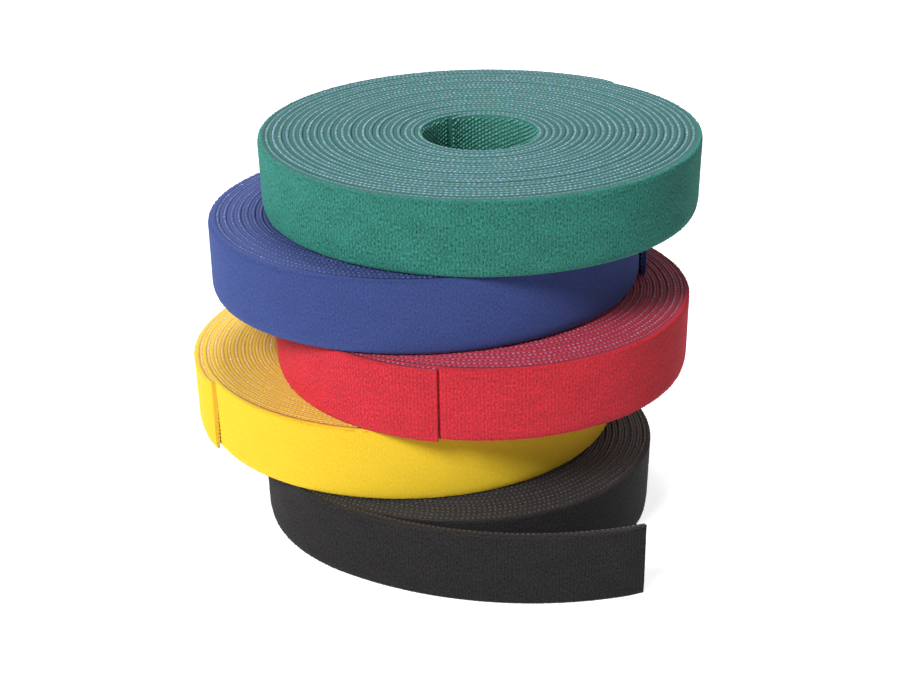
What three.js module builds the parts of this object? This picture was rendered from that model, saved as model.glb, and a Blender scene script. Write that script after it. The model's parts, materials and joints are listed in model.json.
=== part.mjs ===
// Five rolls of hook and loop tape, stacked flat on one another. Millimetres, +Z up.
// Each roll is one long tape wound on itself without a core: brushed loop ply outside, hook ply inside.
// Its wound length is one solid, and its free end is a tail of two bonded plies that peels off the roll.
// The origin is on the floor, under the middle of the stack.

import * as THREE from "three";

// Tape
const TAPE_WIDTH = 16;
const LOOP_PLY = 0.6; // thickness of the brushed ply, pressed as wound
const HOOK_PLY = 0.5; // thickness of the hook ply
const WRAPS_PER_TURN = 2; // wraps of tape that one modelled turn stands for

// Winding
const HOLE_RADIUS = 11.3;
const STEPS_PER_TURN = 24;
const TURNS = 10.75; // modelled turns, from the inner end to the free end
const GREEN_TURNS = 11 + 5 / STEPS_PER_TURN; // puts the inner end at the back of the hole
const COARSE_TURNS = 4; // turns next to the hole, which take half the steps

// Tail
const TAIL_STEPS = 8;
const ROOT_GAP = 0.4; // from the end of the winding to its tail
const TAIL_SPAN = 60; // degrees of the rim that a tail covers
const BLACK_TAIL_SPAN = 75; // degrees
const BLACK_STAND_OFF = 15; // how far the end of the black tail has sprung away from its roll
const BLUE_STAND_OFF = 1.5;

// Stack
const STACK_GAP = 0.3; // from the top of one roll to the roll that lies on it

// How far the blue roll is pressed out of round, and the direction in which it is longest
const BLUE_OUT_OF_ROUND = 1.5;
const BLUE_LONG_ANGLE = 26; // degrees

// Rolls: where the middle of each hole lies, and the space between the modelled turns
const BLACK_X = 1.8;
const BLACK_Y = -27.5;
const BLACK_TURN_GAP = 0.7;
const YELLOW_X = -9.7;
const YELLOW_Y = -14.7;
const YELLOW_TURN_GAP = 1.08;
const RED_X = 7.3;
const RED_Y = -23.2;
const RED_TURN_GAP = 0.88;
const BLUE_X = -4.6;
const BLUE_Y = -16.2;
const BLUE_TURN_GAP = 0.96;
const GREEN_X = 7.3;
const GREEN_Y = -14;
const GREEN_TURN_GAP = 0.98;

// The rolls from the floor up. endAngle is where the tape ends, in degrees anticlockwise from +X.
// A flipped roll lies the other way up, so it winds clockwise as seen from above.
// longAngle is in the same degrees, and says where a roll that is out of round reaches furthest.
const ROLLS = [
  {
    name: "black", colour: "#2d2c2b", endAngle: 310, tailSpan: BLACK_TAIL_SPAN, standOff: BLACK_STAND_OFF,
    x: BLACK_X, y: BLACK_Y, turnGap: BLACK_TURN_GAP,
  },
  {
    name: "yellow", colour: "#f7cf2e", endAngle: 207,
    x: YELLOW_X, y: YELLOW_Y, turnGap: YELLOW_TURN_GAP,
  },
  {
    name: "red", colour: "#d8323f", endAngle: 257,
    x: RED_X, y: RED_Y, turnGap: RED_TURN_GAP,
  },
  {
    name: "blue", colour: "#46589f", endAngle: 356, flipped: true, standOff: BLUE_STAND_OFF,
    outOfRound: BLUE_OUT_OF_ROUND, longAngle: BLUE_LONG_ANGLE,
    x: BLUE_X, y: BLUE_Y, turnGap: BLUE_TURN_GAP,
  },
  {
    name: "green", colour: "#2f947b", endAngle: 48, flipped: true, turns: GREEN_TURNS,
    x: GREEN_X, y: GREEN_Y, turnGap: GREEN_TURN_GAP,
  },
];

const TAPE_THICKNESS = LOOP_PLY + HOOK_PLY;
const TURN_THICKNESS = WRAPS_PER_TURN * TAPE_THICKNESS;
const FULL_TURN = 2 * Math.PI;

// Where the tape of one roll runs, before the roll is flipped. Sweep is the angle wound so far,
// from 0 at the inner end.
class TapePath {
  constructor({
    turnGap, endAngle, flipped = false, turns = TURNS, tailSpan = TAIL_SPAN, standOff = 0,
    outOfRound = 0, longAngle = 0,
  }) {
    const toPathAngle = (degrees) => THREE.MathUtils.degToRad(flipped ? -degrees : degrees);
    this.pitch = TURN_THICKNESS + turnGap;
    this.standOff = standOff;
    this.outOfRound = outOfRound;
    this.longAngle = toPathAngle(longAngle);
    this.endSweep = turns * FULL_TURN;
    this.rootSweep = this.endSweep - THREE.MathUtils.degToRad(tailSpan);
    this.startAngle = toPathAngle(endAngle) - this.endSweep;
    this.rimRadius = this.spiralRadius(this.endSweep);
  }

  spiralRadius(sweep) {
    return HOLE_RADIUS + (this.pitch * sweep) / FULL_TURN;
  }

  // Radius of the inner face, which leaves the spiral along a sprung tail and on a roll out of round.
  radius(sweep) {
    const along = Math.max(0, (sweep - this.rootSweep) / (this.endSweep - this.rootSweep));
    const pressed = (this.outOfRound * sweep) / this.endSweep;
    const lengthened = pressed * Math.cos(2 * (this.angle(sweep) - this.longAngle));
    return this.spiralRadius(sweep) + this.standOff * along ** 2 + lengthened;
  }

  angle(sweep) {
    return this.startAngle + sweep;
  }

  point(sweep) {
    const angle = this.angle(sweep);
    return new THREE.Vector2(Math.cos(angle), Math.sin(angle)).multiplyScalar(this.radius(sweep));
  }

  // Unit normal of the tape, which points away from the hole.
  normal(sweep) {
    const reach = 0.001;
    const tangent = this.point(sweep + reach).sub(this.point(sweep - reach)).normalize();
    return new THREE.Vector2(tangent.y, -tangent.x);
  }

  // One cross-section of a strip, from the depth `inner` to the depth `outer` measured off the inner face.
  section(sweep, inner, outer) {
    const point = this.point(sweep);
    const normal = this.normal(sweep);
    return {
      sweep,
      inner: point.clone().addScaledVector(normal, inner),
      outer: point.clone().addScaledVector(normal, outer),
    };
  }
}

// A closed strip as wide as the tape through the given sections.
function stripGeometry(sections) {
  const positions = [];
  for (const { inner, outer } of sections) {
    positions.push(inner.x, inner.y, 0, outer.x, outer.y, 0);
    positions.push(outer.x, outer.y, TAPE_WIDTH, inner.x, inner.y, TAPE_WIDTH);
  }
  const faces = [];
  const addQuad = (a, b, c, d) => faces.push(a, b, c, a, c, d);
  const lastSection = 4 * (sections.length - 1);
  for (let here = 0; here < lastSection; here += 4) {
    const next = here + 4;
    for (let corner = 0; corner < 4; corner++) {
      const following = (corner + 1) % 4;
      addQuad(here + corner, next + corner, next + following, here + following);
    }
  }
  addQuad(0, 1, 2, 3);
  addQuad(lastSection + 3, lastSection + 2, lastSection + 1, lastSection);

  const geometry = new THREE.BufferGeometry();
  geometry.setAttribute("position", new THREE.Float32BufferAttribute(positions, 3));
  geometry.setIndex(faces);
  geometry.computeVertexNormals();
  return geometry;
}

// Sweeps at which a winding has its sections. The steps line up from turn to turn, so the turns nest.
function windingSweeps(path) {
  const fineStep = FULL_TURN / STEPS_PER_TURN;
  const sweeps = [];
  let sweep = 0;
  while (sweep < path.rootSweep - fineStep / 8) {
    sweeps.push(sweep);
    sweep += sweep < COARSE_TURNS * FULL_TURN ? 2 * fineStep : fineStep;
  }
  sweeps.push(path.rootSweep);
  return sweeps;
}

// The last turn thins from a full turn to the single wrap that goes on into the tail.
function windingThickness(path, sweep) {
  const thinned = THREE.MathUtils.inverseLerp(path.endSweep - FULL_TURN, path.rootSweep, sweep);
  return THREE.MathUtils.lerp(TURN_THICKNESS, TAPE_THICKNESS, THREE.MathUtils.clamp(thinned, 0, 1));
}

function windingSections(path) {
  return windingSweeps(path).map((sweep) => path.section(sweep, 0, windingThickness(path, sweep)));
}

function tailSections(path, inner, outer) {
  const firstSweep = path.rootSweep + ROOT_GAP / path.rimRadius;
  const sections = [];
  for (let step = 0; step <= TAIL_STEPS; step++) {
    const sweep = THREE.MathUtils.lerp(firstSweep, path.endSweep, step / TAIL_STEPS);
    sections.push(path.section(sweep, inner, outer));
  }
  return sections;
}

// Least distance from points on the outside of each turn to the inside of the turns wound over it.
function leastGap(sections) {
  const pointsPerStep = 4;
  const away = new THREE.Vector3();
  const segment = new THREE.Line3();
  const toSpace = ({ x, y }) => new THREE.Vector3(x, y, 0);
  const probes = [];
  for (let i = 1; i < sections.length; i++) {
    for (let k = 0; k < pointsPerStep; k++) {
      const share = k / pointsPerStep;
      const point = sections[i - 1].outer.clone().lerp(sections[i].outer, share);
      const sweep = THREE.MathUtils.lerp(sections[i - 1].sweep, sections[i].sweep, share);
      probes.push({ point: toSpace(point), sweep });
    }
  }
  let least = Infinity;
  for (let i = 1; i < sections.length; i++) {
    segment.set(toSpace(sections[i - 1].inner), toSpace(sections[i].inner));
    for (const { point, sweep } of probes) {
      if (sections[i].sweep - sweep > FULL_TURN / 2) {
        segment.closestPointToPoint(point, true, away);
        least = Math.min(least, away.distanceTo(point));
      }
    }
  }
  return least;
}

const LOOP_ROUGHNESS = 0.95;
const HOOK_ROUGHNESS = 0.7;

function fabric(colour, roughness) {
  return new THREE.MeshStandardMaterial({ color: colour, roughness, metalness: 0 });
}

function addStrip(roll, name, sections, material) {
  const mesh = new THREE.Mesh(stripGeometry(sections), material);
  mesh.name = name;
  roll.add(mesh);
}

function makeRoll(spec) {
  const path = new TapePath(spec);
  const roll = new THREE.Group();
  const wound = windingSections(path);
  const tailLoop = tailSections(path, HOOK_PLY, TAPE_THICKNESS);
  const tailHook = tailSections(path, 0, HOOK_PLY);
  addStrip(roll, `${spec.name}_winding`, wound, fabric(spec.colour, LOOP_ROUGHNESS));
  addStrip(roll, `${spec.name}_tail_loop`, tailLoop, fabric(spec.colour, LOOP_ROUGHNESS));
  addStrip(roll, `${spec.name}_tail_hook`, tailHook, fabric(spec.colour, HOOK_ROUGHNESS));
  console.log(`${spec.name}_winding: least gap between turns ${leastGap(wound).toFixed(2)} mm`);
  return roll;
}

const stack = new THREE.Group();
ROLLS.forEach((spec, level) => {
  const roll = makeRoll(spec);
  roll.position.set(spec.x, spec.y, level * (TAPE_WIDTH + STACK_GAP));
  if (spec.flipped) {
    roll.rotation.x = Math.PI;
    roll.position.z += TAPE_WIDTH;
  }
  stack.add(roll);
});

const middle = new THREE.Box3().setFromObject(stack).getCenter(new THREE.Vector3());
for (const roll of stack.children) {
  roll.position.x -= middle.x;
  roll.position.y -= middle.y;
}

export default stack;
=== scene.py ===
"""Looks of a stack of hook and loop tape rolls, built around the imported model.

Each roll is wound wrap by wrap from its two real plies: a hook web inside and a brushed loop web outside.
The pile and stray fibres of the outer wrap, the stitches along the edges and the hooks are meshes.
Sizes are in millimetres, and turn into metres when a mesh is made. The lamps and the floor are in metres.
"""
import json
import math

import bpy
import numpy as np
from mathutils import Matrix, Vector


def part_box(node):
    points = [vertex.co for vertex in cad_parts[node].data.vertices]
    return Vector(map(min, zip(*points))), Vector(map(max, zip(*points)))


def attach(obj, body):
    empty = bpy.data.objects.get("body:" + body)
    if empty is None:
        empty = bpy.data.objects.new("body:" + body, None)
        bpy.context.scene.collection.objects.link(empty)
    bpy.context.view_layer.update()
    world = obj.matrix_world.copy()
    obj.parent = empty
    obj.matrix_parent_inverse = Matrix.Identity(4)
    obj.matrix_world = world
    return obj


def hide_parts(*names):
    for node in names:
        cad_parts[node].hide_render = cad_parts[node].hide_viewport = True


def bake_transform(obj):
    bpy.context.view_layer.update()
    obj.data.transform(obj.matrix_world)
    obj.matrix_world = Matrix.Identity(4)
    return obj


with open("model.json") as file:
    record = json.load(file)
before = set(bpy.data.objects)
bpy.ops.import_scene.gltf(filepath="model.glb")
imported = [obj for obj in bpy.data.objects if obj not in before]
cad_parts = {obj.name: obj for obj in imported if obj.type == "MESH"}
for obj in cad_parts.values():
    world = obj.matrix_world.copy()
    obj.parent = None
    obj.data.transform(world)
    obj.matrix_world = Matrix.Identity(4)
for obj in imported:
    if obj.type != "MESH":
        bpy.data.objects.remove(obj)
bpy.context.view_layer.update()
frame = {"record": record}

MM = 0.001
FULL_TURN = 2 * math.pi
PATTERN_MAP = "tape"  # UV map that holds each point's place on the flat tape

# Tape and winding, as in the solids
TAPE_WIDTH = 16.0
TAPE_THICKNESS = 1.1
WRAPS_PER_CAD_TURN = 2
HOLE_RADIUS = 11.3

# Winding as it looks
HOOK_SHARE = 0.45  # of the pitch between wraps, taken by the hook web
LOOP_SHARE = 0.55  # the same for the loop web, which lies outside it
GROOVE = 0.07  # width of the groove that the round edges of the plies leave between two wraps
GROOVE_DEPTH = 1.2
BEVEL = 0.05
RIM_INSET = 0.3  # from the wall of the solid to the stitched rim
FLOOR_GAP = 0.02  # least height of an edge of the tape over the floor
FLOOR_CLEARANCE = 0.3  # the same for the middle of a stitch or fibre
SAG = 0.08  # how far a roll's pile reaches down into the space above the roll below
INNER_CURL = 1.0  # how far the inner end stands into the hole
INNER_CURL_SPAN = 0.55  # angle wound, in radians
PINCH = 0.9  # share of the thickness that is lost at the inner end
PINCH_LENGTH = 6.0
END_PINCH = 0.35  # the same for the free end
END_PINCH_LENGTH = 4.0
PRESSED_SHARE = 0.4  # share of a sprung tail that still presses on the roll
PATH_SAMPLES = 40000
PATH_MARGIN = 0.1  # angle by which the path goes on past both ends of the tape
SWAY = [(0.06, 4.0), (0.02, 0.9)]  # size of the waves in and out, and the angle wound in one of them
LIFT = [(0.05, 8.0), (0.025, 1.6)]  # the same for the waves up and down

# Pile of the outer wrap, which swells out past the stitched rim
PILE_GRID = 0.32
TOP_SHOULDER = 1.1  # height over which the pile rounds off to the upper edge of the tape
LOW_SHOULDER = 2.4  # the same for the lower edge
SHOULDER_STEPS = 6
TUCK = 0.45  # how far the lower edge is tucked in
TUFTS = (0.06, 0.65, 1.0)  # depth of the tufts, and their size along the tape and up
WAVES = [(0.02, 6, 5), (0.1, 28, 18)]  # the same for the wider waves in the pile
END_LENGTH = 22.0  # length of tape over which the pile thins towards the cut end

# Yarn stitches, hooks and stray fibres, which are beads with half sizes along the tape, through it and up
BEAD_CORNER = 0.62  # how far a bead's corners stand out along each axis, as a share of its half size
BEAD_SIZES = (0.75, 1.2)  # least and greatest share of its stated size that a bead has
STITCH_PITCH = 1.06
STITCH_HALF = (0.3, 0.26, 0.17)
STITCH_DEPTH = 0.6  # share of the hook web that lies inside the middle of a stitch
STITCH_LOW_INSET = 0.15  # from the lower edge of the tape to the middle of a stitch
STITCH_TOP_INSET = 0.04  # the same for the upper edge
STITCH_STRAY_UP = 0.02
STITCH_STRAY_OUT = 0.04
STITCH_BAND = 11.0  # angle wound in which the stitches go from pale to dark and back
STITCH_BAND_SHADE = 0.28  # how far they do
STITCH_SHADE = 0.2  # how far each stitch strays from that
HOOK_PITCH = 0.75
HOOK_ROWS = 16
HOOK_MARGIN = 0.68  # from an edge of the tape to the middle of the nearest hook
HOOK_ROW_PITCH = 0.92
HOOK_STEP = 0.42  # share of the row pitch by which each column stands lower than the last
HOOK_HALF = (0.38, 0.22, 0.3)
HOOK_STAND = 0.08  # how far the middle of a hook stands off the web
HOOK_STRAY_UP = 0.03
FIBRE_PITCH = 0.28
FIBRE_HALF = (0.22, 0.12, 0.09)
FIBRE_REACH = (0.1, 0.5)  # least and greatest distance of a fibre from the edge of the tape
FIBRE_STRAY = 0.06  # how far a fibre stands in or out of the pile
FIBRE_TILT = 1.2  # greatest tilt, in radians

# turn_gap, end_angle, tail_span, stand_off, cad_turns, flipped, out_of_round and long_angle are those of
# the solids. bulge is how far the pile swells, relief how rough it is and droop how far the end of the tail
# sags. lean is how much further out the wall is at its top than at its bottom. fade is how fast the stitches
# dim from the rim to the hole. recovery is the length of tape in which the pile rises again past the tape's
# end. hole_pull is how far the hole lies off the middle, towards -Y, and hole_oval how much longer it is
# that way. groove is what GROOVE is for the other rolls.
ROLLS = [
    dict(name="black", turn_gap=0.70, end_angle=310, tail_span=75, stand_off=15, bulge=0.2, relief=0.8),
    dict(
        name="yellow", turn_gap=1.08, end_angle=207, bulge=0.5, droop=0.35, relief=0.3, recovery=32,
        groove=0,
    ),
    dict(name="red", turn_gap=0.88, end_angle=257, bulge=0.5, droop=0.15, relief=0.6),
    dict(
        name="blue", turn_gap=0.96, end_angle=356, flipped=True, stand_off=1.5, out_of_round=1.5,
        long_angle=26, bulge=0.9, lean=0, relief=0.35, fade=0.2, groove=0.03,
    ),
    dict(
        name="green", turn_gap=0.98, end_angle=48, flipped=True, cad_turns=11 + 5 / 24,
        bulge=0.8, relief=0.8, hole_pull=2.6, hole_oval=0.45,
    ),
]

# pile, edge and web hold a colour and how far its lights and darks stray from it: those of the outer wall,
# of the loop webs seen edge on and of the hook webs. knit is how clear the upright columns of the pile are,
# and shine how much light its fibres mirror. yarn holds three shades of the stitches, dark to pale, which
# are partly the yarn's own colour and partly painted highlight: the paler shades take in the sheen of its
# glossy threads.
COLOURS = {
    "black": dict(
        pile=("#2b292a", 0.9), edge=("#252324", 0.4), web=("#212020", 0.3), knit=0.15, shine=0.25,
        yarn=("#2f2d30", "#3a373b", "#474348"), hooks=("#2b2929", "#3c3939"),
    ),
    "yellow": dict(
        pile=("#ffd72c", 0.12), edge=("#ffd24e", 0.08), web=("#ffc94e", 0.08), knit=0.12, shine=0.6,
        yarn=("#fccc92", "#fdd6aa", "#fee2c6"), hooks=("#f0b92c", "#fad860"),
    ),
    "red": dict(
        pile=("#da2e3c", 0.55), edge=("#cc384e", 0.25), web=("#b6364e", 0.25), knit=0.2, shine=0.5,
        yarn=("#aa5a74", "#b67894", "#c096b0"), hooks=("#b52c39", "#dc5562"),
    ),
    "blue": dict(
        pile=("#3f5190", 0.34), edge=("#32427c", 0.25), web=("#2e3e78", 0.2), knit=0.1, shine=0.45,
        yarn=("#46579a", "#6775b4", "#a0a8d8"), hooks=("#42528f", "#6475b0"),
    ),
    "green": dict(
        pile=("#318274", 0.88), edge=("#1b544e", 0.5), web=("#2d766a", 0.25), knit=0.15, shine=0.45,
        yarn=("#527a96", "#748cae", "#98a6cc"), hooks=("#52a190", "#66b29f"),
    ),
}


def linear(hex_colour):
    """RGBA for a shader from an sRGB hex colour."""
    channels = [int(hex_colour[i : i + 2], 16) / 255 for i in (1, 3, 5)]
    return [c / 12.92 if c <= 0.04045 else ((c + 0.055) / 1.055) ** 2.4 for c in channels] + [1.0]


def smooth_step(share):
    share = np.clip(share, 0, 1)
    return share * share * (3 - 2 * share)


# Noise

WAVE_SPREAD = (0.6, 1.8)  # least and greatest share of the stated wavelength that a wave has


def wave_noise(rng, values, wavelength, count=7):
    """Smooth noise along one line, about -1 to 1, whose waves are about as long as stated."""
    total = np.zeros_like(values)
    for _ in range(count):
        k = FULL_TURN / (wavelength * rng.uniform(*WAVE_SPREAD))
        total += np.sin(k * values + rng.uniform(0, FULL_TURN))
    return total / math.sqrt(count)


def cell_noise(rng, x, y, cell_x, cell_y, reach):
    """Smooth value noise over points with x from 0 to reach, about -1 to 1, in cells of the stated size."""
    table = rng.uniform(-1, 1, (int(reach / cell_x) + 3, int(2 * TAPE_WIDTH / cell_y) + 3))
    grid_x, grid_y = x / cell_x, y / cell_y
    i, j = grid_x.astype(int), grid_y.astype(int)
    u, v = smooth_step(grid_x - i), smooth_step(grid_y - j)
    low = table[i, j] * (1 - u) + table[i + 1, j] * u
    high = table[i, j + 1] * (1 - u) + table[i + 1, j + 1] * u
    return low * (1 - v) + high * v


# Meshes

def new_mesh_object(name, points, faces, materials, shades, pattern=None):
    """An object from points in millimetres and arrays of faces.

    shades holds each face's material, and pattern each point's place on the flat tape.
    """
    mesh = bpy.data.meshes.new(name)
    loops = np.concatenate([f.ravel() for f in faces]).astype(np.int32)
    sizes = np.concatenate([np.full(len(f), f.shape[1]) for f in faces]).astype(np.int32)
    mesh.vertices.add(len(points))
    mesh.vertices.foreach_set("co", (points * MM).astype(np.float32).ravel())
    mesh.loops.add(len(loops))
    mesh.loops.foreach_set("vertex_index", loops)
    mesh.polygons.add(len(sizes))
    mesh.polygons.foreach_set("loop_start", (np.cumsum(sizes) - sizes).astype(np.int32))
    mesh.polygons.foreach_set("loop_total", sizes)
    mesh.polygons.foreach_set("use_smooth", sizes <= 4)
    if pattern is not None:
        layer = mesh.uv_layers.new(name=PATTERN_MAP)
        layer.data.foreach_set("uv", pattern[loops].astype(np.float32).ravel())
    mesh.polygons.foreach_set("material_index", shades.astype(np.int32))
    mesh.update(calc_edges=True)
    for material in materials:
        mesh.materials.append(material)
    obj = bpy.data.objects.new(name, mesh)
    bpy.context.collection.objects.link(obj)
    return obj


def strip_object(tape, name, rows, along, around, materials, seam=0):
    """A closed strip through rows of points, with the place of each on the flat tape and two flat ends.

    With two materials, the faces from the seam on take the second.
    """
    sections, count = rows.shape[:2]
    here = np.arange(sections - 1)[:, None] * count
    k = np.arange(count)[None, :]
    following = (k + 1) % count
    quads = np.stack([here + k, here + count + k, here + count + following, here + following], -1)
    quads = quads.reshape(-1, 4)
    first = np.arange(count)[None, :] + sections * count
    last = first[:, ::-1] + count
    faces = [quads, first, last]
    if tape.direction < 0:
        faces = [corners[:, ::-1] for corners in faces]
    pattern = np.stack(np.broadcast_arrays(along[:, None], around[None, :]), -1)
    points, places = [np.concatenate([grid, grid[[0, -1]]]) for grid in (rows, pattern)]
    shades = np.zeros(len(quads) + 2)
    if len(materials) > 1:
        shades[:-2] = np.tile(np.arange(count) >= seam, sections - 1)
    return new_mesh_object(name, points.reshape(-1, 3), faces, materials, shades, places.reshape(-1, 2))


class Tape:
    """Where the tape of one roll runs in the frame. Sweep is the angle wound, from 0 at the inner end."""

    def __init__(
        self, name, turn_gap, end_angle, bulge, relief, tail_span=60, stand_off=0, cad_turns=10.75,
        flipped=False, out_of_round=0, long_angle=0, lean=0.35, droop=0, fade=0, recovery=1.2,
        hole_pull=0, hole_oval=0, groove=GROOVE,
    ):
        self.name = name
        self.seed = sum(ord(letter) for letter in name)
        self.stand_off, self.out_of_round = stand_off, out_of_round
        self.long_angle = math.radians(long_angle)
        self.bulge, self.lean, self.droop, self.recovery = bulge, lean, droop, recovery
        self.relief, self.fade = relief, fade
        self.hole_pull, self.hole_oval, self.groove = hole_pull, hole_oval, groove
        self.direction = -1 if flipped else 1
        cad_pitch = WRAPS_PER_CAD_TURN * TAPE_THICKNESS + turn_gap
        rim = HOLE_RADIUS + cad_pitch * cad_turns + TAPE_THICKNESS - RIM_INSET
        wraps = WRAPS_PER_CAD_TURN * math.floor(cad_turns) + 1 + cad_turns % 1
        self.hole_radius = HOLE_RADIUS + cad_pitch / (2 * WRAPS_PER_CAD_TURN)
        self.pitch = (rim - self.hole_radius) / (wraps + HOOK_SHARE + LOOP_SHARE)
        self.hook_ply = HOOK_SHARE * self.pitch
        self.thickness = self.hook_ply + LOOP_SHARE * self.pitch
        self.end = wraps * FULL_TURN
        self.root = self.end - math.radians(tail_span)
        self.start_angle = math.radians(end_angle) - self.direction * self.end
        self.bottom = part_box(f"{name}_winding")[0][2] / MM
        self.on_floor = self.bottom < TAPE_WIDTH / 2
        hole = next(o for o in frame["record"]["physics"]["openings"] if o["name"] == f"{name}_hole")
        self.centre = np.mean(hole["box_m"], 0)[:2] / MM
        rng = np.random.default_rng(self.seed)
        self.samples = np.linspace(-PATH_MARGIN, self.end + PATH_MARGIN, PATH_SAMPLES)
        self.sway = sum(size * wave_noise(rng, self.samples, wavelength) for size, wavelength in SWAY)
        self.lift = sum(size * wave_noise(rng, self.samples, wavelength) for size, wavelength in LIFT)
        steps = np.linalg.norm(np.diff(self.inner_face(self.samples), axis=0), axis=1)
        self.lengths = np.concatenate([[0], np.cumsum(steps)])

    def along_tail(self, sweep):
        return np.clip((sweep - self.root) / (self.end - self.root), 0, 1)

    def unrest(self, sweep):
        """Share of its uneven sway and lift that the tape has, which fades over the last wrap."""
        return np.clip((self.root - sweep) / FULL_TURN, 0, 1)

    def angle(self, sweep):
        return self.start_angle + self.direction * sweep

    def radius(self, sweep):
        """Radius of the inner face: a spiral that sways, curls in at its start and may spring off."""
        sway = np.interp(sweep, self.samples, self.sway) * self.unrest(sweep)
        curl = INNER_CURL * np.clip(1 - sweep / INNER_CURL_SPAN, 0, 1) ** 2
        spring = self.stand_off * self.along_tail(sweep) ** 2
        outer = sweep / self.end
        pressed = self.out_of_round * outer * np.cos(2 * (self.angle(sweep) - self.long_angle))
        pressed -= self.hole_oval * (1 - outer) ** 2 * np.cos(2 * self.angle(sweep))
        return self.hole_radius + self.pitch * sweep / FULL_TURN + sway - curl + spring + pressed

    def inner_face(self, sweep):
        angle = self.angle(sweep)
        pull = self.hole_pull * np.clip(1 - sweep / self.end, 0, 1) ** 2
        place = np.stack([np.cos(angle), np.sin(angle)], -1) * self.radius(sweep)[..., None]
        place[..., 1] -= pull
        return self.centre + place

    def plan(self, sweep, depth):
        """Points in plan at a depth from the inner face, with the direction of the tape there."""
        reach = 0.002
        tangent = self.inner_face(sweep + reach) - self.inner_face(sweep - reach)
        tangent /= np.linalg.norm(tangent, axis=-1, keepdims=True)
        normal = np.stack([tangent[..., 1], -tangent[..., 0]], -1) * self.direction
        return self.inner_face(sweep) + normal * np.asarray(depth)[..., None], tangent

    def length(self, sweep):
        """Length of tape from the inner end."""
        return np.interp(sweep, self.samples, self.lengths)

    def sweeps(self, first, last, pitch):
        """Sweeps that lie a length of tape apart."""
        stops = np.arange(self.length(first) + pitch / 2, self.length(last), pitch)
        return np.interp(stops, self.lengths, self.samples)

    def edges(self, sweep):
        """Heights of the lower and upper edge above the bottom of the roll."""
        rise = np.interp(sweep, self.samples, self.lift) * self.unrest(sweep)
        sag = self.droop * self.along_tail(sweep) ** 2
        low = np.maximum(rise, FLOOR_GAP) if self.on_floor else rise
        return low - sag, TAPE_WIDTH + rise - sag

    def pile_edges(self, sweep):
        """The same for the pile of the outer wrap, which hangs into the space above the roll below."""
        low, top = self.edges(sweep)
        return low - (0 if self.on_floor else SAG), top

    def clear_of_floor(self, height):
        return np.maximum(height, FLOOR_CLEARANCE - self.bottom)

    def swell(self, sweep):
        """How far the pile stands out: not where the tape's end presses on it, and less at the cut end."""
        pressed = PRESSED_SHARE if self.stand_off else 1.0
        freed = self.root + pressed * (self.end - self.root) - FULL_TURN
        free = smooth_step((self.length(sweep) - self.length(freed)) / self.recovery)
        return self.bulge * free * smooth_step(self.left(sweep) / END_LENGTH)

    def left(self, sweep):
        """Length of tape up to the free end."""
        return self.length(self.end) - self.length(sweep)

    def pinch(self, sweep):
        """Share of its thickness that the tape has, which thins towards both ends."""
        inner = PINCH * (1 - smooth_step(self.length(sweep) / PINCH_LENGTH))
        return 1 - inner - END_PINCH * (1 - smooth_step(self.left(sweep) / END_PINCH_LENGTH))


def to_space(tape, plan, height):
    return np.concatenate([plan, (tape.bottom + height)[..., None]], -1)


def web(tape, name, first, last, inner, outer, step, material, groove=0):
    """A closed strip of one ply between two sweeps, from the depth inner to the depth outer.

    A groove takes its width off both edges of the outer face.
    """
    count = max(3, int((last - first) / step) + 1)
    sweep = np.linspace(first, last, count)
    low, top = tape.edges(sweep)
    rim = outer - BEVEL - groove
    deep = GROOVE_DEPTH if groove else BEVEL
    ring = [
        (inner + BEVEL, low), (rim, low), (outer, low + deep), (outer, top - deep),
        (rim, top), (inner + BEVEL, top), (inner, top - BEVEL), (inner, low + BEVEL),
    ]
    pinch = tape.pinch(sweep)
    rows = [to_space(tape, tape.plan(sweep, depth * pinch)[0], height) for depth, height in ring]
    sides = [math.hypot(a[0] - b[0], (a[1] - b[1]).mean()) for a, b in zip(ring, ring[1:])]
    around = np.concatenate([[0], np.cumsum(sides)])
    return strip_object(tape, name, np.stack(rows, 1), tape.length(sweep), around, [material])


def pile_profile():
    """Heights up the wall, and the share of the full swell at each, with a round shoulder at both edges."""
    turn = np.linspace(0, math.pi / 2, SHOULDER_STEPS + 1)
    rise, share = 1 - np.cos(turn), np.sin(turn)
    middle = np.arange(LOW_SHOULDER + PILE_GRID, TAPE_WIDTH - TOP_SHOULDER, PILE_GRID)
    heights = np.concatenate([LOW_SHOULDER * rise, middle, TAPE_WIDTH - TOP_SHOULDER * rise[::-1]])
    return heights, np.concatenate([share, np.ones_like(middle), share[::-1]])


def wall_depth(tape, sweep, heights, share):
    """Depth of the outer wall at heights up the tape, where the pile has the stated share of its swell."""
    across = heights / TAPE_WIDTH
    inset = tape.lean * (1 - across) + TUCK * (1 - share) * (across < 0.5)
    return tape.thickness + tape.swell(sweep) * share - inset


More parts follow.
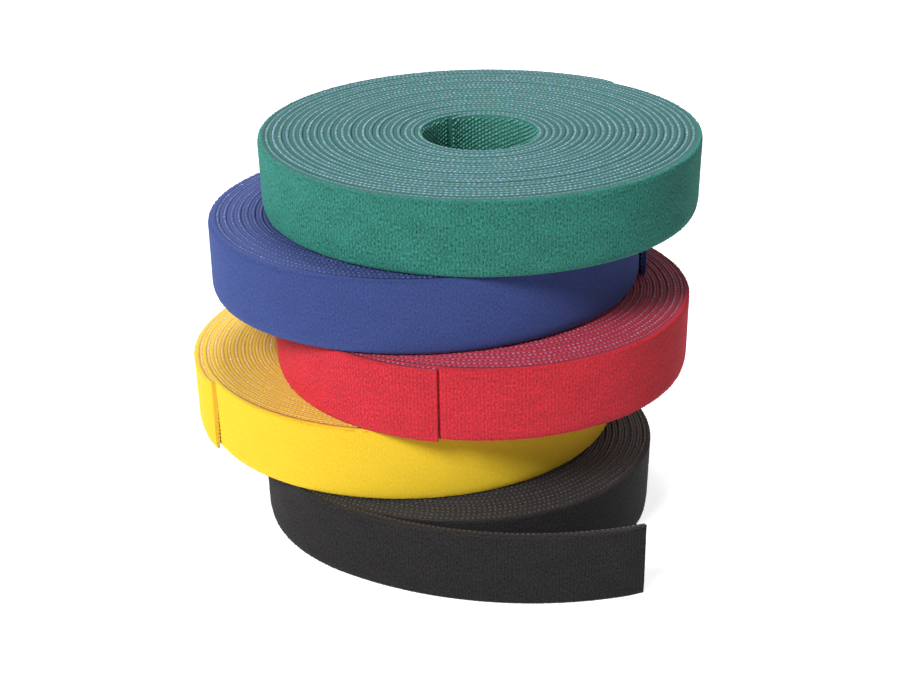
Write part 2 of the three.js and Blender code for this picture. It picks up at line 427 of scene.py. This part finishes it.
def pile_web(tape, name, first, last, pile, edge):
    """The loop web of the outer wrap, whose outer face is a fine grid of brushed pile."""
    heights, share = pile_profile()
    rows = len(heights)
    count = int((tape.length(last) - tape.length(first)) / PILE_GRID) + 2
    sweep = np.linspace(first, last, count)
    low, top = tape.pile_edges(sweep)
    steps = np.hypot(np.diff(heights), tape.bulge * np.diff(share))
    around = np.concatenate([[0], np.cumsum(steps)])
    along = np.repeat(tape.length(sweep)[:, None], rows, 1)
    up = np.repeat(around[None, :], count, 0)
    rng = np.random.default_rng(tape.seed)
    reach = tape.lengths[-1]
    tufts, *waves = [
        size * cell_noise(rng, along, up, cell_along, cell_up, reach)
        for size, cell_along, cell_up in [TUFTS, *WAVES]
    ]
    rough = (tape.relief * tufts + sum(waves)) * share**2
    depth = wall_depth(tape, sweep[:, None], heights, share) + rough
    pinch = tape.pinch(sweep)
    plan = tape.plan(np.repeat(sweep[:, None], rows, 1), depth * pinch[:, None])[0]
    face = to_space(tape, plan, low[:, None] + (top - low)[:, None] * heights / TAPE_WIDTH)
    back = tape.plan(sweep, tape.hook_ply * pinch)[0]
    behind = [to_space(tape, back, height)[:, None] for height in (top, low)]
    rim = around[-1] + tape.thickness - tape.hook_ply
    rows_around = np.concatenate([face] + behind, 1)
    places = np.concatenate([around, [rim, rim + TAPE_WIDTH]])
    return strip_object(tape, name, rows_around, tape.length(sweep), places, [pile, edge], rows - 1)


def bead_shape():
    """Points and triangles of a rounded bead with half sizes of 1."""
    tips = [np.eye(3)[k] * sign for k in range(3) for sign in (1, -1)]
    corners = [np.array((x, y, z)) * BEAD_CORNER for x in (1, -1) for y in (1, -1) for z in (1, -1)]
    points = np.array(tips + corners)
    triangles = []
    for tip, direction in enumerate(tips):
        ring = [len(tips) + i for i, corner in enumerate(corners) if corner @ direction > 0]
        side = np.roll(direction, 1)
        other = np.cross(direction, side)
        ring.sort(key=lambda i: math.atan2(points[i] @ other, points[i] @ side))
        triangles += [(tip, here, following) for here, following in zip(ring, ring[1:] + ring[:1])]
    return points, np.array(triangles)


BEAD_POINTS, BEAD_TRIANGLES = bead_shape()


def beads(name, centres, tangent, tilt, half, rng, materials, paleness):
    """Small beads that lie along a tape, tilted up from it; the paler ones take the later materials."""
    n = len(centres)
    zero = np.zeros((n, 1))
    flat = np.concatenate([tangent, zero], -1)
    upright = np.array([0.0, 0.0, 1.0])
    along = flat * np.cos(tilt) + upright * np.sin(tilt)
    up = upright * np.cos(tilt) - flat * np.sin(tilt)
    sizes = np.array(half) * rng.uniform(*BEAD_SIZES, (n, 3))
    axes = np.stack([along, np.cross(up, along), up], 1) * sizes[:, :, None]
    points = centres[:, None, :] + np.einsum("vk,nkc->nvc", BEAD_POINTS, axes)
    faces = (np.arange(n)[:, None, None] * len(BEAD_POINTS) + BEAD_TRIANGLES[None]).reshape(-1, 3)
    shade = np.clip(paleness * len(materials), 0, len(materials) - 1).astype(int)
    shades = np.repeat(shade, len(BEAD_TRIANGLES))
    return new_mesh_object(name, points.reshape(-1, 3), [faces], materials, shades)


def stitches(tape, name, first, last, materials):
    """The yarn stitches along the top and bottom edge of the hook web, pale partly from painted highlight.
    """
    rng = np.random.default_rng(tape.seed + len(name))
    sweep = np.tile(tape.sweeps(first, last, STITCH_PITCH), 2)
    n = len(sweep)
    low, top = tape.edges(sweep)
    lower = np.arange(n) >= n // 2
    height = np.where(lower, tape.clear_of_floor(low + STITCH_LOW_INSET), top - STITCH_TOP_INSET)
    height += rng.normal(0, STITCH_STRAY_UP, n)
    depth = STITCH_DEPTH * tape.hook_ply + rng.normal(0, STITCH_STRAY_OUT, n)
    plan, tangent = tape.plan(sweep, depth * tape.pinch(sweep))
    bands = wave_noise(np.random.default_rng(tape.seed), sweep, STITCH_BAND)
    inwards = (tape.end - sweep) / FULL_TURN
    # Paler stitches take the shades that hold more painted highlight.
    paleness = 0.5 + STITCH_BAND_SHADE * bands + rng.normal(0, STITCH_SHADE, n) - tape.fade * inwards
    return beads(name, to_space(tape, plan, height), tangent, 0.0, STITCH_HALF, rng, materials, paleness)


def fibres(tape, name, first, last, materials):
    """Stray fibres of the pile along both edges of the outer wrap."""
    rng = np.random.default_rng(tape.seed + len(name))
    sweep = np.tile(tape.sweeps(first, last, FIBRE_PITCH), 2)
    n = len(sweep)
    low, top = tape.pile_edges(sweep)
    lower = np.arange(n) >= n // 2
    from_edge = rng.uniform(*FIBRE_REACH, n)
    height = np.where(lower, tape.clear_of_floor(low + from_edge), top - from_edge)
    share = np.interp(height, *pile_profile())
    depth = wall_depth(tape, sweep, height, share) + rng.uniform(-FIBRE_STRAY, FIBRE_STRAY, n)
    plan, tangent = tape.plan(sweep, depth * tape.pinch(sweep))
    tilt = rng.uniform(-FIBRE_TILT, FIBRE_TILT, (n, 1))
    paleness = rng.uniform(0, 1, n)
    return beads(name, to_space(tape, plan, height), tangent, tilt, FIBRE_HALF, rng, materials, paleness)


def hooks(tape, name, first, last, materials):
    """Slanting rows of hooks on the inner face of the hook web."""
    rng = np.random.default_rng(tape.seed + len(name))
    columns = tape.sweeps(first, last, HOOK_PITCH)
    step = -HOOK_STEP * tape.direction
    rows = (np.arange(HOOK_ROWS)[None, :] + step * np.arange(len(columns))[:, None]) % HOOK_ROWS
    sweep = np.repeat(columns, HOOK_ROWS)
    n = len(sweep)
    low = tape.edges(sweep)[0]
    height = low + HOOK_MARGIN + HOOK_ROW_PITCH * rows.ravel() + rng.normal(0, HOOK_STRAY_UP, n)
    plan, tangent = tape.plan(sweep, np.full(n, -HOOK_STAND))
    tilt = math.atan(step * HOOK_ROW_PITCH / HOOK_PITCH)
    paleness = rng.uniform(0, 1, n)
    return beads(name, to_space(tape, plan, height), tangent, tilt, HOOK_HALF, rng, materials, paleness)


# Materials

PILE_ROUGHNESS = 0.95
WEB_ROUGHNESS = 0.7
YARN_ROUGHNESS = 0.32
HOOK_ROUGHNESS = 0.45
FIBRE_ROUGHNESS = 0.9
WEB_SHINE = 0.5
YARN_SHINE = 1.0
HOOK_SHINE = 0.7
FIBRE_SHINE = 0.7

# Features of the patterns, with sizes along the tape and up
TUFT_SIZE = (0.3, 0.58)
TUFT_DETAIL = 3.0
PATCH_SIZE = (6.0, 4.0)
THREAD_SIZE = (0.5, 0.3)
PATCH_SHARE = 0.12  # share of the wide patches in the pile's lights and darks
PILE_REACH = 0.2  # how far the noise goes from the middle to the full lights and darks
WEB_REACH = 0.15  # the same for the webs
KNIT_PITCH = 0.72
KNIT_DEPTH = 0.2  # how far the columns go from the middle to their lights and darks
KNIT_WANDER = 6.0  # how far the columns wander, in radians of their wave
KNIT_WANDER_SIZE = (2.0, 2.4)
BUMP_DISTANCE = 0.0002  # metres
BUMP_STRENGTH = 0.4


def new_material(name, roughness, specular, colour=None):
    material = bpy.data.materials.new(name)
    material.use_nodes = True
    shader = material.node_tree.nodes["Principled BSDF"]
    shader.inputs["Roughness"].default_value = roughness
    shader.inputs["Specular IOR Level"].default_value = specular
    if colour:
        shader.inputs["Base Color"].default_value = linear(colour)
    return material, material.node_tree, shader


def add_place(tree):
    """The place of a point on the flat tape."""
    place = tree.nodes.new("ShaderNodeUVMap")
    place.uv_map = PATTERN_MAP
    return place.outputs["UV"]


def add_math(tree, operation, *values):
    """The result of a math node whose values are numbers or come from other nodes."""
    node = tree.nodes.new("ShaderNodeMath")
    node.operation = operation
    for socket, value in zip(node.inputs, values):
        if isinstance(value, bpy.types.NodeSocket):
            tree.links.new(value, socket)
        else:
            socket.default_value = value
    return node.outputs["Value"]


def add_noise(tree, along, up, detail=2.0):
    """Noise on the flat tape with features of about the stated sizes."""
    mapping = tree.nodes.new("ShaderNodeMapping")
    mapping.inputs["Scale"].default_value = (1 / along, 1 / up, 1)
    tree.links.new(add_place(tree), mapping.inputs["Vector"])
    noise = tree.nodes.new("ShaderNodeTexNoise")
    noise.inputs["Scale"].default_value = 1.0
    noise.inputs["Detail"].default_value = detail
    tree.links.new(mapping.outputs["Vector"], noise.inputs["Vector"])
    return noise.outputs["Fac"]


def add_ramp(tree, value, colour, spread, reach):
    """The colour, darker or lighter by the share spread where the value is reach under or over a half."""
    ramp = tree.nodes.new("ShaderNodeValToRGB")
    base = linear(colour)
    for element, side in zip(ramp.color_ramp.elements, (-1, 1)):
        element.position = 0.5 + side * reach
        element.color = [min(1, c * (1 + side * spread)) for c in base[:3]] + [1]
    tree.links.new(value, ramp.inputs["Fac"])
    return ramp.outputs["Color"]


def add_bump(tree, shader, height):
    bump = tree.nodes.new("ShaderNodeBump")
    bump.inputs["Distance"].default_value = BUMP_DISTANCE
    bump.inputs["Strength"].default_value = BUMP_STRENGTH
    tree.links.new(height, bump.inputs["Height"])
    tree.links.new(bump.outputs["Normal"], shader.inputs["Normal"])


def mix_values(tree, a, b, share):
    mix = tree.nodes.new("ShaderNodeMix")
    mix.inputs["Factor"].default_value = share
    tree.links.new(a, mix.inputs["A"])
    tree.links.new(b, mix.inputs["B"])
    return mix.outputs["Result"]


def add_columns(tree):
    """Upright knit columns along the tape, which go up and down about a half and are a little uneven."""
    split = tree.nodes.new("ShaderNodeSeparateXYZ")
    tree.links.new(add_place(tree), split.inputs["Vector"])
    turn = add_math(tree, "MULTIPLY", split.outputs["X"], FULL_TURN / KNIT_PITCH)
    wander = add_noise(tree, *KNIT_WANDER_SIZE)
    wave = add_math(tree, "SINE", add_math(tree, "MULTIPLY_ADD", wander, KNIT_WANDER, turn))
    return add_math(tree, "MULTIPLY_ADD", wave, KNIT_DEPTH, 0.5)


def pile_material(name, colour, spread, knit, shine):
    """Brushed loop pile: matt, with short upright tufts in columns."""
    material, tree, shader = new_material(f"{name}_loop_pile", PILE_ROUGHNESS, shine)
    shader.inputs["Diffuse Roughness"].default_value = 1.0
    tufts = add_noise(tree, *TUFT_SIZE, TUFT_DETAIL)
    columns = add_columns(tree)
    patches = add_noise(tree, *PATCH_SIZE)
    value = mix_values(tree, mix_values(tree, tufts, columns, knit), patches, PATCH_SHARE)
    tree.links.new(add_ramp(tree, value, colour, spread, PILE_REACH), shader.inputs["Base Color"])
    add_bump(tree, shader, tufts)
    return material


def web_material(name, colour, spread):
    """Woven web: close threads."""
    material, tree, shader = new_material(name, WEB_ROUGHNESS, WEB_SHINE)
    threads = add_noise(tree, *THREAD_SIZE)
    tree.links.new(add_ramp(tree, threads, colour, spread, WEB_REACH), shader.inputs["Base Color"])
    add_bump(tree, shader, threads)
    return material


def plain_materials(name, roughness, specular, colours):
    """One material for each shade of a yarn, hook or fibre."""
    return [new_material(f"{name}_{i}", roughness, specular, colour)[0] for i, colour in enumerate(colours)]


# Rolls

WOUND_STEP = FULL_TURN / 120
TAIL_STEP = WOUND_STEP / 2


def build_roll(spec):
    tape = Tape(**spec)
    name, root, end = tape.name, tape.root, tape.end
    ply, thickness = tape.hook_ply, tape.thickness
    colours = COLOURS[name]
    pile = pile_material(name, *colours["pile"], colours["knit"], colours["shine"])
    woven = web_material(f"{name}_hook_web", *colours["web"])
    edge = web_material(f"{name}_loop_edge", *colours["edge"])
    # The yarn's shades are partly its own colour and partly painted highlight.
    yarn = plain_materials(f"{name}_yarn", YARN_ROUGHNESS, YARN_SHINE, colours["yarn"])
    hook = plain_materials(f"{name}_hook", HOOK_ROUGHNESS, HOOK_SHINE, colours["hooks"])
    fibre = plain_materials(f"{name}_fibre", FIBRE_ROUGHNESS, FIBRE_SHINE, colours["pile"][:1])
    roll, tail = f"{name}_roll", f"{name}_tail"
    last_wrap = root - FULL_TURN
    wound = [
        (web(tape, f"{name}_hook_ply", 0, root, 0, ply, WOUND_STEP, woven), "hook"),
        (
            web(tape, f"{name}_loop_ply", 0, last_wrap, ply, thickness, WOUND_STEP, edge, tape.groove),
            "loop",
        ),
        (pile_web(tape, f"{name}_outer_pile", last_wrap, root, pile, edge), "loop"),
        (fibres(tape, f"{name}_outer_fibres", last_wrap, root, fibre), "loop"),
        (stitches(tape, f"{name}_edge_stitches", 0, root, yarn), "hook"),
        (hooks(tape, f"{name}_hole_hooks", 0, FULL_TURN, hook), "hook"),
    ]
    for piece, ply_name in wound:
        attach(piece, roll)
        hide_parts(f"{name}_winding")
    free = [
        (pile_web(tape, f"{name}_tail_pile", root, end, pile, edge), "loop"),
        (fibres(tape, f"{name}_tail_fibres", root, end, fibre), "loop"),
        (web(tape, f"{name}_tail_hook_ply", root, end, 0, ply, TAIL_STEP, woven), "hook"),
        (stitches(tape, f"{name}_tail_stitches", root, end, yarn), "hook"),
        (hooks(tape, f"{name}_tail_hooks", root, end, hook), "hook"),
    ]
    start, tangent = tape.plan(np.array(root), np.array(0.0))
    for piece, ply_name in free:
        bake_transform(piece)
        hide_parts(f"{name}_tail_{ply_name}")


# Stage

# Camera, fitted to the picture. CLIP_START and FLOOR_HALF are in metres.
CAMERA_PLACE = (1.80, -358.65, 192.94)
CAMERA_PITCH = math.radians(23.735)
CAMERA_ROLL = math.radians(-0.80)
FOCAL_PIXELS = 1767.6
PICTURE_WIDTH = 900
SENSOR_WIDTH = 36.0
CLIP_START = 0.01
FLOOR_HALF = 3.0
FLOOR_COLOUR = "#e6e6e6"
FLOOR_ROUGHNESS = 0.9
FLOOR_SHINE = 0.5


def add_camera():
    right = Vector((1, 0, 0))
    ahead = Vector((0, math.cos(CAMERA_PITCH), -math.sin(CAMERA_PITCH)))
    up = right.cross(ahead)
    turned_right = right * math.cos(CAMERA_ROLL) + up * math.sin(CAMERA_ROLL)
    turned_up = up * math.cos(CAMERA_ROLL) - right * math.sin(CAMERA_ROLL)
    rotation = Matrix((turned_right, turned_up, -ahead)).transposed()
    data = bpy.data.cameras.new("camera")
    data.sensor_width = SENSOR_WIDTH
    data.lens = SENSOR_WIDTH * FOCAL_PIXELS / PICTURE_WIDTH
    data.clip_start = CLIP_START
    camera = bpy.data.objects.new("camera", data)
    camera.matrix_world = Matrix.Translation(Vector(CAMERA_PLACE) * MM) @ rotation.to_4x4()
    bpy.context.collection.objects.link(camera)
    bpy.context.scene.camera = camera


def add_area_light(name, place, aim, size, power, colour=(1, 1, 1)):
    data = bpy.data.lights.new(name, "AREA")
    data.shape = "DISK"
    data.size = size
    data.energy = power
    data.color = colour
    light = bpy.data.objects.new(name, data)
    light.location = place
    light.rotation_euler = (Vector(aim) - Vector(place)).to_track_quat("-Z", "Y").to_euler()
    bpy.context.collection.objects.link(light)


def seen_by_camera(tree):
    """1 for what the camera sees, also mirrored or through glass, and 0 for light that falls on things."""
    path = tree.nodes.new("ShaderNodeLightPath")
    value = path.outputs["Is Camera Ray"]
    for other in ("Is Glossy Ray", "Is Transmission Ray"):
        value = add_math(tree, "MAXIMUM", value, path.outputs[other])
    return value


def add_world(ambient, colour):
    world = bpy.data.worlds.new("studio")
    bpy.context.scene.world = world
    world.use_nodes = True
    tree = world.node_tree
    strength = tree.nodes.new("ShaderNodeMapRange")
    strength.inputs["To Min"].default_value = ambient
    strength.inputs["To Max"].default_value = 1.0
    tree.links.new(seen_by_camera(tree), strength.inputs["Value"])
    background = tree.nodes["Background"]
    background.inputs["Color"].default_value = (*colour, 1)
    tree.links.new(strength.outputs["Result"], background.inputs["Strength"])


def add_floor(lift):
    """A white floor, lifted to white in the picture so that only the deepest shadow shows on it."""
    corners = [(x * FLOOR_HALF, y * FLOOR_HALF, 0) for x, y in ((-1, -1), (1, -1), (1, 1), (-1, 1))]
    mesh = bpy.data.meshes.new("floor")
    mesh.from_pydata(corners, [], [(0, 1, 2, 3)])
    floor = bpy.data.objects.new("floor", mesh)
    bpy.context.collection.objects.link(floor)
    material, tree, shader = new_material("floor", FLOOR_ROUGHNESS, FLOOR_SHINE, FLOOR_COLOUR)
    strength = add_math(tree, "MULTIPLY", seen_by_camera(tree), lift)
    shader.inputs["Emission Color"].default_value = (1, 1, 1, 1)
    tree.links.new(strength, shader.inputs["Emission Strength"])
    mesh.materials.append(material)


add_camera()
for spec in ROLLS:
    build_roll(spec)
add_world(ambient=0.1, colour=(1, 1, 1))
add_floor(lift=0.8)
middle = (0, 0, 0.04)
add_area_light("key", place=(-0.39, -0.60, 0.66), aim=middle, size=0.3, power=6.9)
add_area_light("sky", place=(0.0, 0.3, 0.88), aim=middle, size=0.4, power=5.6, colour=(0.86, 0.91, 1.0))
bpy.context.scene.view_settings.view_transform = "Standard"
